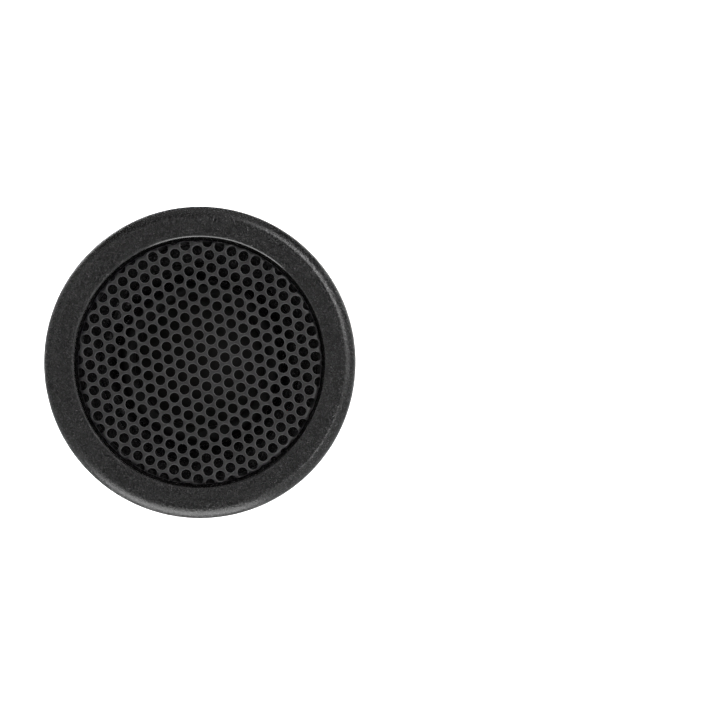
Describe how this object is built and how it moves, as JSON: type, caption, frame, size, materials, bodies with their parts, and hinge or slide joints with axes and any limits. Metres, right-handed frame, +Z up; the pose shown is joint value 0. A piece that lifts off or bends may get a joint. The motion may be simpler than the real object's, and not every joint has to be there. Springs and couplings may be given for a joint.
{
  "type": "car tweeter",
  "caption": "Flush-mount car dome tweeter: round black bezel with a perforated grille, dome driver inside, threaded barrel with a lock nut, and blade terminals at the back.",
  "frame": {"origin": "on the tweeter's axis, in the plane of the flange's back, where the face of the panel lies", "axes": "+Y from the grille back into the panel along the tweeter's axis, +Z up as it stands in a vertical panel, +X to the right seen from the front"},
  "size_m": [0.0486, 0.0276, 0.0486],
  "materials": {
    "housing_plastic": "black ABS with a fine spark-eroded grain",
    "grille_steel": "satin black powder coat on perforated steel",
    "plate_plastic": "matt black ABS",
    "dome_silk": "coated silk",
    "surround_cloth": "rubber-coated cloth",
    "former_aluminium": "bright foil",
    "copper": "enamelled copper wire",
    "felt": "grey wool felt",
    "motor_steel": "zinc-plated steel",
    "magnet_nickel": "nickel-plated neodymium",
    "foam": "closed-cell foam",
    "tinned_brass": "tin-plated brass",
    "capacitor_sleeve": "blue heat-shrink sleeve",
    "red_insulation": "soft vinyl insulation",
    "black_insulation": "soft vinyl insulation",
    "screw_steel": "black zinc-plated steel",
    "phenolic": "brown paper phenolic",
    "nylon": "black nylon"
  },
  "bodies": {
    "case": {"housing": "housing_plastic", "grille": "grille_steel", "front_plate": "plate_plastic", "surround": "surround_cloth", "diaphragm_ring": "plate_plastic", "damping_felt": "felt", "pole_plate": "motor_steel", "magnet": "magnet_nickel", "yoke_cup": "motor_steel", "rear_pad": "foam", "lug_positive": "tinned_brass", "lug_negative": "tinned_brass", "tinsel_positive": "copper", "tinsel_negative": "copper", "capacitor": "capacitor_sleeve", "wire_positive": "red_insulation", "wire_capacitor": "red_insulation", "wire_negative": "black_insulation", "driver_screw_1": "screw_steel", "driver_screw_2": "screw_steel", "driver_screw_3": "screw_steel", "rear_cover": "housing_plastic", "cover_screw_1": "screw_steel", "cover_screw_2": "screw_steel", "cover_screw_3": "screw_steel", "terminal_block": "phenolic", "blade_positive": "tinned_brass", "blade_negative": "tinned_brass", "flange_gasket": "foam"},
    "diaphragm": {"dome": "dome_silk", "coil_former": "former_aluminium", "voice_coil": "copper"},
    "washer": {"slip_washer": "nylon"},
    "nut": {"lock_nut": "nylon"}
  },
  "joints": [
    {"name": "dome_travel", "type": "slide", "parent": "case", "child": "diaphragm", "axis": [0, -1, 0], "range_m": [-0.0004, 0.0004], "stiffness_N_per_m": 2000, "deforming": ["surround", "tinsel_positive", "tinsel_negative"]},
    {"name": "nut_advance", "type": "slide", "parent": "case", "child": "washer", "axis": [0, 1, 0], "range_m": [-0.00216, 0.00432]},
    {"name": "nut_turn", "type": "hinge", "parent": "washer", "child": "nut", "pos_m": [0, 0, 0], "axis": [0, 1, 0], "range_deg": [-432, 864]}
  ],
  "couplings": [
    {"joint": "nut_advance", "follows": "nut_turn", "m_per_rad": 0.00028648}
  ]
}
